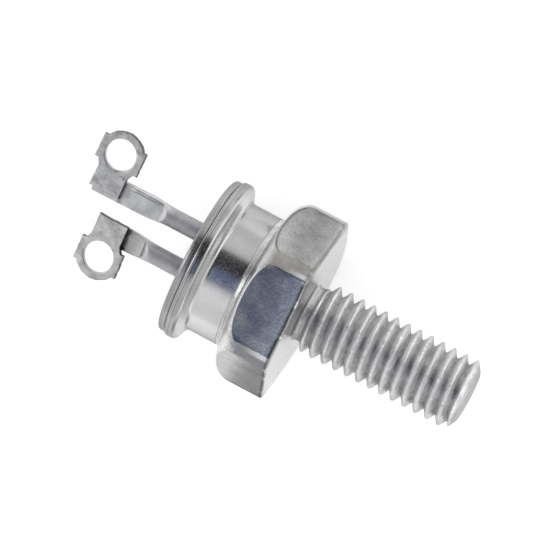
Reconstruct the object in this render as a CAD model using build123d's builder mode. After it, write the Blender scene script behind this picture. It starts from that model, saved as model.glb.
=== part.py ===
from build123d import *
from math import cos, radians, sin
import os

# Stud-mounted thyristor in a hermetic metal case with two tube terminals.
# Millimetres. X runs along the device's axis: 0 is the seat that clamps to a heat sink, the terminals are
# towards +X and the stud towards -X. The device lies on one flat of its hexagon, with the opposite flat up (+Z).

# Copper base: stud and hexagon
across_flats = 10.8
blank_diameter = 12.0
hex_height = 3.5
shoulder_radius = 1.25
seat_diameter = 10.6
seat_bevel = 0.1
stud_diameter = 4.7
stud_length = 11.2
tip_bevel = 0.45

# Copper base: step that the sleeve is brazed to, and the pedestal inside it
step_diameter = 8.7
step_height = 0.36
pedestal_rise = 0.5
pedestal_clearance = 0.1

# Steel sleeve with its weld flange
braze_thickness = 0.08
braze_recess = 0.04
neck_diameter = 8.64
sleeve_wall = 0.7
sleeve_height = 3.07
flange_diameter = 10.5
flange_edge = 0.55
flange_root = 0.98
flange_edge_bevel = 0.1
flange_root_radius = 0.2

# Lid: steel ring with a glass seal
lid_diameter = 10.22
lid_thickness = 0.52
lid_edge_bevel = 0.1
skirt_depth = 1.15
skirt_clearance = 0.06
glass_diameter = 5.0
glass_recess = 0.12

# Terminal tubes, pressed flat at their ends
tube_spacing = 2.54
tube_diameter = 1.2
tube_bore = 0.7
tube_tail = 0.2
crimp_start = 10.1
crimp_length = 0.65
crimp_facet_angle = 28
blade_width = 1.46
blade_thickness = 0.48
cathode_tube_end = 15.25
gate_tube_end = 13.85

# How far each blade is rolled about the device's axis, tipped down at its end and swung sideways, in degrees
cathode_roll_angle = 5.0
gate_roll_angle = 7.8
cathode_tip_angle = 3.4
gate_tip_angle = 6.8
cathode_swing_angle = 1.8
gate_swing_angle = 1.6

# Solder lugs
lug_thickness = 0.35
lug_hole_diameter = 1.97
lug_head_diameter = 2.95
lug_band_length = 2.96
lug_band_width = 1.58
lug_neck_width = 2.03
lug_tail = 2.55
lug_corner_radius = 0.4
cathode_lug_along = 14.38
gate_lug_along = 12.92
cathode_lug_reach = 2.2
gate_lug_reach = 1.67
cathode_lug_swing_angle = 0.0
gate_lug_swing_angle = 1.6

# Stack of discs between the pedestal and the cathode lead
solder_thickness = 0.04
anode_solder_diameter = 5.1
anode_disc_diameter = 5.4
anode_disc_thickness = 0.4
pellet_diameter = 4.6
pellet_thickness = 0.25
pellet_bevel = 0.2
coating_overlap = 0.15
coating_skirt = 0.2
coating_rise = 0.1
cathode_disc_diameter = 2.0
cathode_disc_thickness = 0.2
cathode_disc_offset = 0.8
cathode_solder_margin = 0.05

# Inner leads and their solder
cathode_lead_diameter = 0.56
gate_lead_diameter = 0.4
cathode_joint_diameter = 0.98
cathode_joint_height = 0.22
gate_joint_diameter = 0.64
gate_joint_height = 0.14

# Heights along X, each from the piece below it
step_top = hex_height + step_height
pedestal_top = step_top + pedestal_rise
braze_top = step_top + braze_thickness
weld_plane = braze_top + sleeve_height
lid_top = weld_plane + lid_thickness
skirt_end = weld_plane - skirt_depth
tube_inner_end = skirt_end - tube_tail
anode_disc_base = pedestal_top + solder_thickness
anode_disc_top = anode_disc_base + anode_disc_thickness
pellet_base = anode_disc_top + solder_thickness
pellet_top = pellet_base + pellet_thickness
cathode_disc_base = pellet_top + solder_thickness
cathode_disc_top = cathode_disc_base + cathode_disc_thickness

# Radii that more than one piece shares
neck_radius = neck_diameter / 2
sleeve_bore_radius = neck_radius - sleeve_wall
skirt_radius = sleeve_bore_radius - skirt_clearance
glass_radius = glass_diameter / 2
tube_radius = tube_diameter / 2
pellet_radius = pellet_diameter / 2
pellet_top_radius = pellet_radius - pellet_bevel

# The cathode terminal is on the -Y side and the gate terminal on the +Y side
cathode_y = -tube_spacing / 2
gate_y = tube_spacing / 2

os.makedirs("parts", exist_ok=True)


# Copper base: stud, hexagon, step and pedestal in one forging
with BuildPart() as stud_base:
    with BuildSketch(Plane.XY) as blank:
        with BuildLine():
            Polyline(
                (0, 0),
                (0, seat_diameter / 2),
                (seat_bevel, blank_diameter / 2),
                (hex_height, blank_diameter / 2),
                (hex_height, 0),
                close=True,
            )
        make_face()
        shoulder_corner = blank.vertices().group_by(Axis.Y)[-1].sort_by(Axis.X)[-1]
        fillet(shoulder_corner, radius=shoulder_radius)
    revolve(axis=Axis.X)
    with BuildSketch(Plane.YZ):
        RegularPolygon(radius=across_flats / 2, side_count=6, major_radius=False)
    extrude(amount=hex_height, mode=Mode.INTERSECT)
    with BuildSketch(Plane.YZ):
        Circle(stud_diameter / 2)
    extrude(amount=-stud_length)
    chamfer(stud_base.edges().group_by(Axis.X)[0], length=tip_bevel)
    with BuildSketch(Plane.YZ.offset(hex_height)):
        Circle(step_diameter / 2)
    extrude(amount=step_height)
    with BuildSketch(Plane.YZ.offset(step_top)):
        Circle(sleeve_bore_radius - pedestal_clearance)
    extrude(amount=pedestal_rise)


# Ring of braze alloy, a little below the surface of the sleeve and the step
with BuildPart() as sleeve_braze:
    with BuildSketch(Plane.YZ.offset(step_top)):
        Circle(neck_radius - braze_recess)
        Circle(sleeve_bore_radius, mode=Mode.SUBTRACT)
    extrude(amount=braze_thickness)


# Steel sleeve: a round neck whose end is rolled out into the weld flange
with BuildPart() as case_sleeve:
    with BuildSketch(Plane.XY) as sleeve_section:
        with BuildLine():
            Polyline(
                (braze_top, sleeve_bore_radius),
                (weld_plane, sleeve_bore_radius),
                (weld_plane, flange_diameter / 2),
                (weld_plane - flange_edge, flange_diameter / 2),
                (weld_plane - flange_root, neck_radius),
                (braze_top, neck_radius),
                close=True,
            )
        make_face()
        flange_corners = sleeve_section.vertices().group_by(Axis.Y)[-1]
        chamfer(flange_corners, length=flange_edge_bevel)
        flange_foot = sleeve_section.vertices().group_by(Axis.Y)[1].sort_by(Axis.X)[-1]
        fillet(flange_foot, radius=flange_root_radius)
    revolve(axis=Axis.X)


# Steel ring of the lid: the flange lies on the sleeve's flange, the skirt centres it in the sleeve
with BuildPart() as header_ring:
    with BuildSketch(Plane.XY) as ring_section:
        with BuildLine():
            Polyline(
                (lid_top, glass_radius),
                (lid_top, lid_diameter / 2),
                (weld_plane, lid_diameter / 2),
                (weld_plane, skirt_radius),
                (skirt_end, skirt_radius),
                (skirt_end, glass_radius),
                close=True,
            )
        make_face()
        lid_corners = ring_section.vertices().group_by(Axis.Y)[-1]
        chamfer(lid_corners, length=lid_edge_bevel)
    revolve(axis=Axis.X)


# Glass seal: it fills the ring round the two tubes
with BuildPart() as header_glass:
    with BuildSketch(Plane.YZ.offset(skirt_end)):
        Circle(glass_radius)
        with Locations((cathode_y, 0), (gate_y, 0)):
            Circle(tube_radius, mode=Mode.SUBTRACT)
    extrude(amount=lid_top - glass_recess - skirt_end)


def terminal_directions(roll, tip, swing):
    """Return the unit directions across, along and square to a blade.

    The blade's normal starts at +Z, is rolled towards +Y, and is then tipped towards +X, so that the blade's
    end droops. Then the blade is swung about that normal, and its end moves towards +Y.
    """
    level_across = Vector(0, cos(radians(roll)), -sin(radians(roll)))
    upright = Vector(0, sin(radians(roll)), cos(radians(roll)))
    outward = Vector(1, 0, 0)
    straight_along = outward * cos(radians(tip)) - upright * sin(radians(tip))
    normal = upright * cos(radians(tip)) + outward * sin(radians(tip))
    across = level_across * cos(radians(swing)) - straight_along * sin(radians(swing))
    along = straight_along * cos(radians(swing)) + level_across * sin(radians(swing))
    return across, along, normal


def terminal_tube(y, roll, tip, swing, end):
    """Make a tube that is round from the lid to the crimp and pressed into a flat blade from there on."""
    across, along, normal = terminal_directions(roll, tip, swing)
    level_across = Vector(0, cos(radians(roll)), -sin(radians(roll)))
    crimp_root = Vector(crimp_start, y, 0)
    crimp_end = crimp_root + along * crimp_length
    blade_length = (end - crimp_end.X) / along.X
    facet = radians(crimp_facet_angle)
    facet_x = tube_radius * sin(facet)
    facet_y = tube_radius * cos(facet)
    flat_x = (blade_width - blade_thickness) / 2
    flat_y = blade_thickness / 2
    with BuildPart() as tube:
        with BuildSketch(Plane(origin=(tube_inner_end, y, 0), x_dir=(0, 1, 0), z_dir=(1, 0, 0))):
            Circle(tube_radius)
        extrude(amount=crimp_start - tube_inner_end)
        with BuildSketch(Plane(origin=crimp_root, x_dir=level_across, z_dir=(1, 0, 0))):
            with BuildLine():
                ThreePointArc((-facet_x, facet_y), (0, tube_radius), (facet_x, facet_y))
                ThreePointArc((facet_x, facet_y), (tube_radius, 0), (facet_x, -facet_y))
                ThreePointArc((facet_x, -facet_y), (0, -tube_radius), (-facet_x, -facet_y))
                ThreePointArc((-facet_x, -facet_y), (-tube_radius, 0), (-facet_x, facet_y))
            make_face()
        with BuildSketch(Plane(origin=crimp_end, x_dir=across, z_dir=along)):
            with BuildLine():
                Line((-flat_x, flat_y), (flat_x, flat_y))
                ThreePointArc((flat_x, flat_y), (blade_width / 2, 0), (flat_x, -flat_y))
                Line((flat_x, -flat_y), (-flat_x, -flat_y))
                ThreePointArc((-flat_x, -flat_y), (-blade_width / 2, 0), (-flat_x, flat_y))
            make_face()
        loft(ruled=True)
        crimp_face = tube.faces().sort_by(Axis.X)[-1]
        extrude(crimp_face, amount=blade_length)
        with BuildSketch(Plane(origin=(tube_inner_end, y, 0), x_dir=(0, 1, 0), z_dir=(1, 0, 0))):
            Circle(tube_bore / 2)
        extrude(amount=crimp_start - tube_inner_end, mode=Mode.SUBTRACT)
    return tube.part


def terminal_lug(y, roll, tip, swing, lug_swing, lug_along, reach, side):
    """Make a flat lug that lies on a blade and reaches out to one side of it.

    The head is a disc with a straight band across it, whose corners stand out a little, and the neck runs from
    the head to just past the blade. side is -1 or 1, the side of the blade that the head is on.
    """
    blade_along = terminal_directions(roll, tip, swing)[1]
    across, along, normal = terminal_directions(roll, tip, lug_swing)
    crimp_root = Vector(crimp_start, y, 0)
    foot = crimp_root + blade_along * ((lug_along - crimp_start) / blade_along.X)
    hole_centre = foot + across * (side * reach) + normal * (blade_thickness / 2)
    with BuildPart() as lug:
        with BuildSketch(Plane(origin=hole_centre, x_dir=along, z_dir=normal)) as outline:
            Circle(lug_head_diameter / 2)
            Rectangle(lug_band_length, lug_band_width)
            with Locations((0, -side * lug_tail / 2)):
                Rectangle(lug_neck_width, lug_tail)
            head_axis = Axis(hole_centre, across * side)
            neck_corners = outline.vertices().group_by(head_axis, tol_digits=3)[1]
            fillet(neck_corners, radius=lug_corner_radius)
            Circle(lug_hole_diameter / 2, mode=Mode.SUBTRACT)
        extrude(amount=lug_thickness)
    return lug.part


cathode_tube = terminal_tube(
    cathode_y, cathode_roll_angle, cathode_tip_angle, cathode_swing_angle, cathode_tube_end
)
gate_tube = terminal_tube(
    gate_y, gate_roll_angle, gate_tip_angle, gate_swing_angle, gate_tube_end
)
cathode_lug = terminal_lug(
    cathode_y,
    cathode_roll_angle,
    cathode_tip_angle,
    cathode_swing_angle,
    cathode_lug_swing_angle,
    cathode_lug_along,
    cathode_lug_reach,
    -1,
)
gate_lug = terminal_lug(
    gate_y,
    gate_roll_angle,
    gate_tip_angle,
    gate_swing_angle,
    gate_lug_swing_angle,
    gate_lug_along,
    gate_lug_reach,
    1,
)


# Solder between the pedestal and the backing disc
with BuildPart() as anode_solder:
    with BuildSketch(Plane.YZ.offset(pedestal_top)):
        Circle(anode_solder_diameter / 2)
    extrude(amount=solder_thickness)


# Molybdenum backing disc
with BuildPart() as anode_disc:
    with BuildSketch(Plane.YZ.offset(anode_disc_base)):
        Circle(anode_disc_diameter / 2)
    extrude(amount=anode_disc_thickness)


# Solder between the backing disc and the silicon
with BuildPart() as pellet_solder:
    with BuildSketch(Plane.YZ.offset(anode_disc_top)):
        Circle(pellet_radius)
    extrude(amount=solder_thickness)


# Silicon pellet, ground to a cone at its edge
with BuildPart() as silicon_pellet:
    with BuildSketch(Plane.XY):
        with BuildLine():
            Polyline(
                (pellet_base, 0),
                (pellet_base, pellet_radius),
                (pellet_top, pellet_top_radius),
                (pellet_top, 0),
                close=True,
            )
        make_face()
    revolve(axis=Axis.X)


# Silicone rubber over the pellet's edge, on the backing disc
with BuildPart() as junction_coating:
    with BuildSketch(Plane.XY):
        with BuildLine():
            Polyline(
                (anode_disc_top, pellet_radius + coating_skirt),
                (anode_disc_top, pellet_radius),
                (pellet_base, pellet_radius),
                (pellet_top, pellet_top_radius),
                (pellet_top, pellet_top_radius - coating_overlap),
                (pellet_top + coating_rise, pellet_top_radius),
                close=True,
            )
        make_face()
    revolve(axis=Axis.X)


# Solder under the cathode disc
with BuildPart() as cathode_solder:
    with BuildSketch(Plane.YZ.offset(pellet_top)):
        with Locations((-cathode_disc_offset, 0)):
            Circle(cathode_disc_diameter / 2 - cathode_solder_margin)
    extrude(amount=solder_thickness)


# Molybdenum contact disc on the cathode side
with BuildPart() as cathode_disc:
    with BuildSketch(Plane.YZ.offset(cathode_disc_base)):
        with Locations((-cathode_disc_offset, 0)):
            Circle(cathode_disc_diameter / 2)
    extrude(amount=cathode_disc_thickness)


def inner_lead(base, y, diameter):
    """Make the wire that stands on its contact and runs up into its tube, where the crimp grips it."""
    with BuildPart() as lead:
        with BuildSketch(Plane.YZ.offset(base)):
            with Locations((y, 0)):
                Circle(diameter / 2)
        extrude(amount=crimp_start - base)
    return lead.part


def lead_joint(base, y, lead_diameter, diameter, height):
    """Make the cone of solder round the foot of a wire."""
    with BuildPart() as joint:
        with BuildSketch(Plane.XY):
            with BuildLine():
                Polyline(
                    (base, y + lead_diameter / 2),
                    (base, y + diameter / 2),
                    (base + height, y + lead_diameter / 2),
                    close=True,
                )
            make_face()
        revolve(axis=Axis((0, y, 0), (1, 0, 0)))
    return joint.part


cathode_lead = inner_lead(cathode_disc_top, cathode_y, cathode_lead_diameter)
gate_lead = inner_lead(pellet_top, gate_y, gate_lead_diameter)
cathode_joint = lead_joint(
    cathode_disc_top, cathode_y, cathode_lead_diameter, cathode_joint_diameter, cathode_joint_height
)
gate_joint = lead_joint(
    pellet_top, gate_y, gate_lead_diameter, gate_joint_diameter, gate_joint_height
)

pieces = {
    "stud_base": stud_base.part,
    "sleeve_braze": sleeve_braze.part,
    "case_sleeve": case_sleeve.part,
    "header_ring": header_ring.part,
    "header_glass": header_glass.part,
    "cathode_tube": cathode_tube,
    "gate_tube": gate_tube,
    "cathode_lug": cathode_lug,
    "gate_lug": gate_lug,
    "anode_solder": anode_solder.part,
    "anode_disc": anode_disc.part,
    "pellet_solder": pellet_solder.part,
    "silicon_pellet": silicon_pellet.part,
    "junction_coating": junction_coating.part,
    "cathode_solder": cathode_solder.part,
    "cathode_disc": cathode_disc.part,
    "cathode_joint": cathode_joint,
    "cathode_lead": cathode_lead,
    "gate_joint": gate_joint,
    "gate_lead": gate_lead,
}

for node, piece in pieces.items():
    piece.label = node
    export_step(piece, f"parts/{node}.step")
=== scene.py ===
from math import acos, cos, degrees, pi, radians, sin

import bpy
import numpy as np
from mathutils import Matrix, Vector


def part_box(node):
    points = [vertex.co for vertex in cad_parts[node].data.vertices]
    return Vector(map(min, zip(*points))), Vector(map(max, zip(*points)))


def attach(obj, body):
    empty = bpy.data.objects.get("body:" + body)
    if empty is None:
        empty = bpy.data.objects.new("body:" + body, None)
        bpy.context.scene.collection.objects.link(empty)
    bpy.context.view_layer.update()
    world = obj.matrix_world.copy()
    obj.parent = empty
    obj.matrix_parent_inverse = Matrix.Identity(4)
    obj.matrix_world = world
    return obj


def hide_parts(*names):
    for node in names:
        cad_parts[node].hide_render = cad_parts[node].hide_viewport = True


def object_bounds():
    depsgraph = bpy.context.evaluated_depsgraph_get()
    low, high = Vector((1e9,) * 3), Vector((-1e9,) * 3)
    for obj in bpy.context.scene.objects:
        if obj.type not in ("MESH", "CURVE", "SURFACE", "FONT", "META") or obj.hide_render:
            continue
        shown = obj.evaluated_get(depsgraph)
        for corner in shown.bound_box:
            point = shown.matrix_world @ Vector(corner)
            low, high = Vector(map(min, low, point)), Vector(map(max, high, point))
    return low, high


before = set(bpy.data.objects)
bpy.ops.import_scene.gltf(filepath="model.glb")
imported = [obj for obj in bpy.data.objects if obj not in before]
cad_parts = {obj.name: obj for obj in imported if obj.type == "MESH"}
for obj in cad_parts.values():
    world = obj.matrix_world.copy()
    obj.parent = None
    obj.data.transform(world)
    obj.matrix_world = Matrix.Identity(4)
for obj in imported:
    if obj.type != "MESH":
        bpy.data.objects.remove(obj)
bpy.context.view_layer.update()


# Copper base. Stud, hexagon and brazing step are one cold-forged piece of copper with nickel plating. The
# hexagon's flats cut the turned shoulder in arcs. The 10-32 thread is rolled, and its crests fade out in a
# short relief beside the seat.
MM = 0.001
across_flats = 10.8 * MM
blank_radius = 6.0 * MM
hex_height = 3.5 * MM
shoulder_radius = 1.25 * MM
seat_radius = 5.22 * MM
seat_rounding = 0.13 * MM
step_radius = 4.35 * MM
step_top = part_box("sleeve_braze")[0].x
pedestal_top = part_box("stud_base")[1].x
pedestal_radius = 3.52 * MM
stud_radius = 2.35 * MM
stud_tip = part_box("stud_base")[0].x
tip_face_radius = 1.58 * MM
tip_length = 0.5 * MM
pitch = 25.4 / 32 * MM
thread_depth = 0.55 * MM
plating = 0.01 * MM
crest_width = pitch / 7
crest_softness = 0.07 * MM
root_softness = 0.1 * MM
root_radius = stud_radius - plating - thread_depth
thread_start = -0.81 * MM
thread_rows = 280
relief_end = 0.42 * MM
full_crest = 0.88 * MM
root_fillet = 0.26 * MM
burr_height = 0.0025 * MM
burr_depth = 0.12 * MM
nick_count = 90
nick_stretch = 1.6
chip_count = 60
braze_fillet = 0.3 * MM
shoulder_crease = 0.11 * MM
flat_crown = 0.03 * MM
rolled_edge = 0.035 * MM
rolled_edge_width = 0.3 * MM
edge_softness = 0.04 * MM


def grid_object(name, points, loop_rows=False):
    """Make a mesh from a grid of points, rows by columns by 3, whose columns close round.

    Neighbouring points make four-sided faces that point outwards where the rows advance along an axis and
    the columns turn right-handed about it. The rows close on themselves too, or else one flat face closes
    each end.
    """
    rows, columns, _ = points.shape
    row_count = rows if loop_rows else rows - 1
    i = np.arange(row_count)[:, None]
    j = np.arange(columns)[None, :]
    below = i * columns
    above = ((i + 1) % rows) * columns
    beside = (j + 1) % columns
    quads = np.stack([below + j, below + beside, above + beside, above + j], axis=-1).reshape(-1, 4)
    faces = quads.tolist()
    if not loop_rows:
        faces.append(list(range(columns - 1, -1, -1)))
        faces.append(list(range((rows - 1) * columns, rows * columns)))
    mesh = bpy.data.meshes.new(name)
    mesh.from_pydata(points.reshape(-1, 3).tolist(), [], faces)
    mesh.polygons.foreach_set("use_smooth", np.ones(len(mesh.polygons), dtype=bool))
    mesh.set_sharp_from_angle(angle=radians(42))
    mesh.validate()
    piece = bpy.data.objects.new(name, mesh)
    bpy.context.scene.collection.objects.link(piece)
    return piece


def turned(x, r, turn):
    """Place a grid of heights x and radii r round the X axis: y = r cos turn and z = r sin turn."""
    x, r, turn = np.broadcast_arrays(x, r, turn)
    return np.stack([x, r * np.cos(turn), r * np.sin(turn)], axis=-1)


def straight_rows(start, end, inner, softness=edge_softness):
    """Rows along a straight line, each a pair (x, r) of numbers or of arrays over the columns.

    No row lies on the ends themselves: the first and last keep one softness away, and the next ones two, so
    that the corner between two such runs becomes a narrow bevel with even shading beside it.
    """
    start = [np.asarray(v, dtype=float) for v in start]
    end = [np.asarray(v, dtype=float) for v in end]
    length = np.hypot(end[0] - start[0], end[1] - start[1])
    near = np.minimum(softness / np.maximum(length, 1e-9), 0.2)
    shares = [near, 2 * near]
    shares += [2 * near + (1 - 4 * near) * (k + 1) / (inner + 1) for k in range(inner)]
    shares += [1 - 2 * near, 1 - near]
    return [(start[0] + (end[0] - start[0]) * s, start[1] + (end[1] - start[1]) * s) for s in shares]


def hexagon_columns():
    """Angles round the axis: close together at the six corner bands and even along the flats."""
    flat_half = degrees(acos(across_flats / 2 / blank_radius))
    band_half = 30 - flat_half
    edge = 0.35
    band = np.linspace(-band_half + edge, band_half - edge, 6)
    flat = np.linspace(band_half + 2 * edge, 60 - band_half - 2 * edge, 35)
    sector = np.concatenate([[-band_half - edge], [-band_half + edge / 3], band, [band_half + edge], flat])
    sector = np.unique(np.round(sector, 6))
    return np.radians(np.concatenate([sector + 60 * k for k in range(6)]))


def bell(value, middle, width):
    """A bell curve that is 1 in its middle: e to the power of minus the squared distance in widths."""
    return np.exp(-((value - middle) / width) ** 2)


def thread_radius(x, turn):
    """Radius of the rolled thread at heights x and angles turn.

    It is the crest radius less a V groove of 60 degrees, read from the distance to the nearest crest of a
    right-hand helix, with smooth minima round the crests and roots. Beside the seat the crest fades into a
    short relief that is as deep as the roots, and at the tip a curved bevel cuts it off. The crests carry a
    fine burr and small nicks, each a bell curve pressed into them.
    """
    cycles = (x - thread_start) / pitch - turn / (2 * pi)
    from_crest = np.abs(cycles - np.round(cycles)) * pitch
    groove = np.tan(radians(60)) * (from_crest - crest_width / 2)
    groove = 0.5 * (groove + np.sqrt(groove ** 2 + crest_softness ** 2))
    gap = groove - thread_depth
    groove = thread_depth + 0.5 * (gap - np.sqrt(gap ** 2 + root_softness ** 2))
    past_relief = np.clip((-x - relief_end) / (full_crest - relief_end), 0, 1)
    crest = stud_radius - plating - groove - root_radius
    thread = root_radius + crest * past_relief ** 2 * (3 - 2 * past_relief)
    past_shank = np.clip((stud_tip + tip_length - x) / tip_length, 0, 1)
    tip_curve = tip_face_radius + (stud_radius - tip_face_radius) * (1 - past_shank ** 1.5)
    thread = np.minimum(thread, tip_curve)

    nicks = np.random.default_rng(11)
    burr = nicks.normal(0, burr_height, thread.shape)
    burr = (burr + np.roll(burr, 1, axis=1) + np.roll(burr, 1, axis=0)) / 1.7
    thread = thread + burr * np.clip(1 - groove / burr_depth, 0, 1)
    for _ in range(nick_count):
        place = nicks.uniform(stud_tip, -full_crest)
        direction = nicks.uniform(0, 2 * pi)
        reach = nicks.uniform(0.05, 0.12) * MM
        arc = np.mod(turn - direction + pi, 2 * pi) - pi
        distance = ((x - place) / reach) ** 2 + (arc * stud_radius / (nick_stretch * reach)) ** 2
        depth = nicks.uniform(0.03, 0.07) * MM * nick_stretch
        thread = np.minimum(thread, stud_radius - depth * np.exp(-distance))
    return thread


def stud_rows(turn):
    """Rows along the stud's thread, and over the quarter circle that joins its relief to the seat."""
    x = np.linspace(stud_tip, -root_fillet, thread_rows)[:, None]
    rows = [(np.full_like(turn, height), radius) for height, radius in zip(x[:, 0], thread_radius(x, turn))]
    for share in np.linspace(0.15, 0.85, 5):
        drop = root_fillet * (1 - sin(share * pi / 2))
        rise = root_fillet * (1 - cos(share * pi / 2))
        rows.append((np.full_like(turn, -drop), np.full_like(turn, root_radius + rise)))
    return rows


def chipped_edge(turn, wear):
    """Depth of the small chips along the seat's edge: a bell curve at each of some random angles."""
    chips = np.zeros_like(turn)
    for _ in range(chip_count):
        arc = np.mod(turn - wear.uniform(0, 2 * pi) + pi, 2 * pi) - pi
        depth = wear.uniform(0.01, 0.035) * MM
        chips += depth * bell(arc * blank_radius, 0, wear.uniform(0.1, 0.2) * MM)
    return chips


def seat_edge_rows(side, on_flat, seat_edge, chips):
    """Rows over the seat's edge: a quarter of an ellipse from the seat to the side, less the chips."""
    rows = []
    for share in np.linspace(0.1, 0.9, 5):
        reach = side - rolled_edge * on_flat - seat_radius - chips * sin(share * pi)
        rows.append((seat_edge * (1 - cos(share * pi / 2)), seat_radius + reach * sin(share * pi / 2)))
    return rows


def side_rows(side, on_flat, seat_edge, side_top):
    """Rows up the hexagon's side, close together at the seat.

    The flats are crowned by the square of the distance from their middle height, and the clamping has
    rolled their edge over at the seat, by the square of the distance from the end of the rolled strip.
    """
    rows = []
    for share in (0.01, 0.02, 0.035, 0.05, 0.065, 0.08, 0.1, 0.15, 0.25, 0.35,
                  0.5, 0.65, 0.75, 0.85, 0.95, 1):
        height = seat_edge + (side_top - seat_edge) * share
        rolled = rolled_edge * np.clip(1 - (height - seat_edge) / rolled_edge_width, 0, 1) ** 2
        crown = flat_crown * (2 * share - 1) ** 2
        rows.append((height, side - (rolled + crown) * on_flat))
    return rows


def shoulder_rows(side, on_flat, arc_start, arc_foot, soft_reach):
    """Rows over the turned shoulder, a quarter circle that starts where it meets the hexagon's side.

    A quadratic curve, whose middle point lies on the crease between the two, rounds that crease.
    """
    arc_radius = blank_radius - shoulder_radius
    arc_middle = hex_height - shoulder_radius
    first_angle = arc_start + soft_reach / shoulder_radius
    arc = []
    for share in np.linspace(0, 1, 16):
        angle = first_angle + (pi / 2 - first_angle - 0.02) * share
        height = arc_middle + shoulder_radius * np.sin(angle)
        arc.append((height, arc_radius + shoulder_radius * np.cos(angle)))
    first = arc_foot - soft_reach, side - flat_crown * on_flat
    middle = arc_foot, side - flat_crown * on_flat / 2
    rows = []
    for share in np.linspace(0.15, 0.85, 4):
        near, between, far = (1 - share) ** 2, 2 * share * (1 - share), share ** 2
        rows.append(tuple(a * near + b * between + c * far for a, b, c in zip(first, middle, arc[0])))
    return rows + arc


def step_rows(level):
    """Rows over the braze's fillet, a quarter circle, and then round the brazing step and the pedestal."""
    rows = []
    for share in np.linspace(0.05, 1, 7):
        rise = braze_fillet * (1 - cos(share * pi / 2))
        spill = braze_fillet * (1 - sin(share * pi / 2))
        rows.append((level + hex_height + rise, level + step_radius + spill))
    step_corner = level + step_top, level + pedestal_radius
    rows += straight_rows((level + step_top, level + step_radius), step_corner, 1)
    rows += straight_rows(step_corner, (level + pedestal_top, level + pedestal_radius), 1)
    rows.append((level + pedestal_top, level + pedestal_radius - edge_softness))
    return rows


def base_masks(turn, on_flat, wear, row_count, edge_start, border):
    """Masks over the base's grid, each from 0 to 1: painted shade lines, and frost with painted highlight.

    A line of painted shade runs along the seat's edge, heaviest at 40 degrees and broken by random gaps, and
    another along the crease over the flats that face -Y. The frost, also a painted highlight, begins at that
    crease, covers the shoulder and grows thin towards -Y.
    """
    painted_shade_lines = np.zeros((row_count, turn.size))
    unevenness = np.tile(wear.normal(0, 1, turn.size), 3)
    unevenness = np.convolve(unevenness, np.ones(3) / 2, "same")[turn.size:2 * turn.size]
    # Painted shade: a dark line along the seat's edge, and another along the crease over the flats facing -Y.
    heavy = (0.3 + 0.7 * (0.5 + 0.5 * np.cos(turn - radians(40)))) * (unevenness < 1.0)
    fade = np.array([0.3, 0.7, 1, 1, 1, 1, 0.9, 0.6, 0.3])[:, None]
    painted_shade_lines[edge_start + 1:edge_start + 1 + len(fade)] = fade * heavy
    painted_shade_lines[border:border + 3] = on_flat * np.clip(-1.6 * np.cos(turn), 0, 1)
    # Frost over the shoulder that is also a painted highlight, thinner towards -Y.
    frost_and_highlight = np.zeros_like(painted_shade_lines)
    begin = np.linspace(0, 2.5, 20)[:, None]
    frost_and_highlight[border + 2:border + 2 + len(begin)] = np.maximum(begin, on_flat).clip(0, 1)
    frost_and_highlight *= 1 - 0.75 * np.clip((-np.cos(turn) - 0.2) / 0.4, 0, 1)
    return {"painted_edge_shade": painted_shade_lines, "frost_and_highlight": frost_and_highlight}


def base_grid():
    """Points of the whole base, from the stud's tip to the pedestal, and the masks over them.

    The hexagon's radius is the smaller of the blank's radius and half the across flats over the cosine of
    the angle from the flat's middle. The shoulder's quarter circle meets it at the angle arc_start. The
    seat's edge is worn most towards -Y.
    """
    turn = hexagon_columns()
    level = np.zeros_like(turn)
    from_flat = np.mod(turn, pi / 3) - pi / 6
    side = np.minimum(across_flats / 2 / np.cos(from_flat), blank_radius)
    on_flat = np.clip((blank_radius - side) / (0.1 * MM), 0, 1)
    arc_start = np.arccos(np.clip((side - blank_radius) / shoulder_radius + 1, -1, 1))
    arc_foot = hex_height - shoulder_radius + shoulder_radius * np.sin(arc_start)
    soft_reach = shoulder_crease * on_flat + 0.01 * MM
    worn = 0.5 - 0.5 * np.cos(turn)
    seat_edge = (0.3 + 0.4 * worn) * seat_rounding + (0.05 + 0.13 * worn) * (side - seat_radius)
    wear = np.random.default_rng(5)

    rows = stud_rows(turn)
    rows += straight_rows((level, level + root_radius + root_fillet), (level, level + seat_radius), 3)
    edge_start = len(rows)
    rows += seat_edge_rows(side, on_flat, seat_edge, chipped_edge(turn, wear))
    rows += side_rows(side, on_flat, seat_edge, arc_foot - soft_reach)
    border = len(rows)
    rows += shoulder_rows(side, on_flat, arc_start, arc_foot, soft_reach)
    rows += step_rows(level)
    height = np.array([row[0] for row in rows])
    radius = np.array([row[1] for row in rows])
    return turned(height, radius, turn), base_masks(turn, on_flat, wear, len(rows), edge_start, border)


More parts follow.
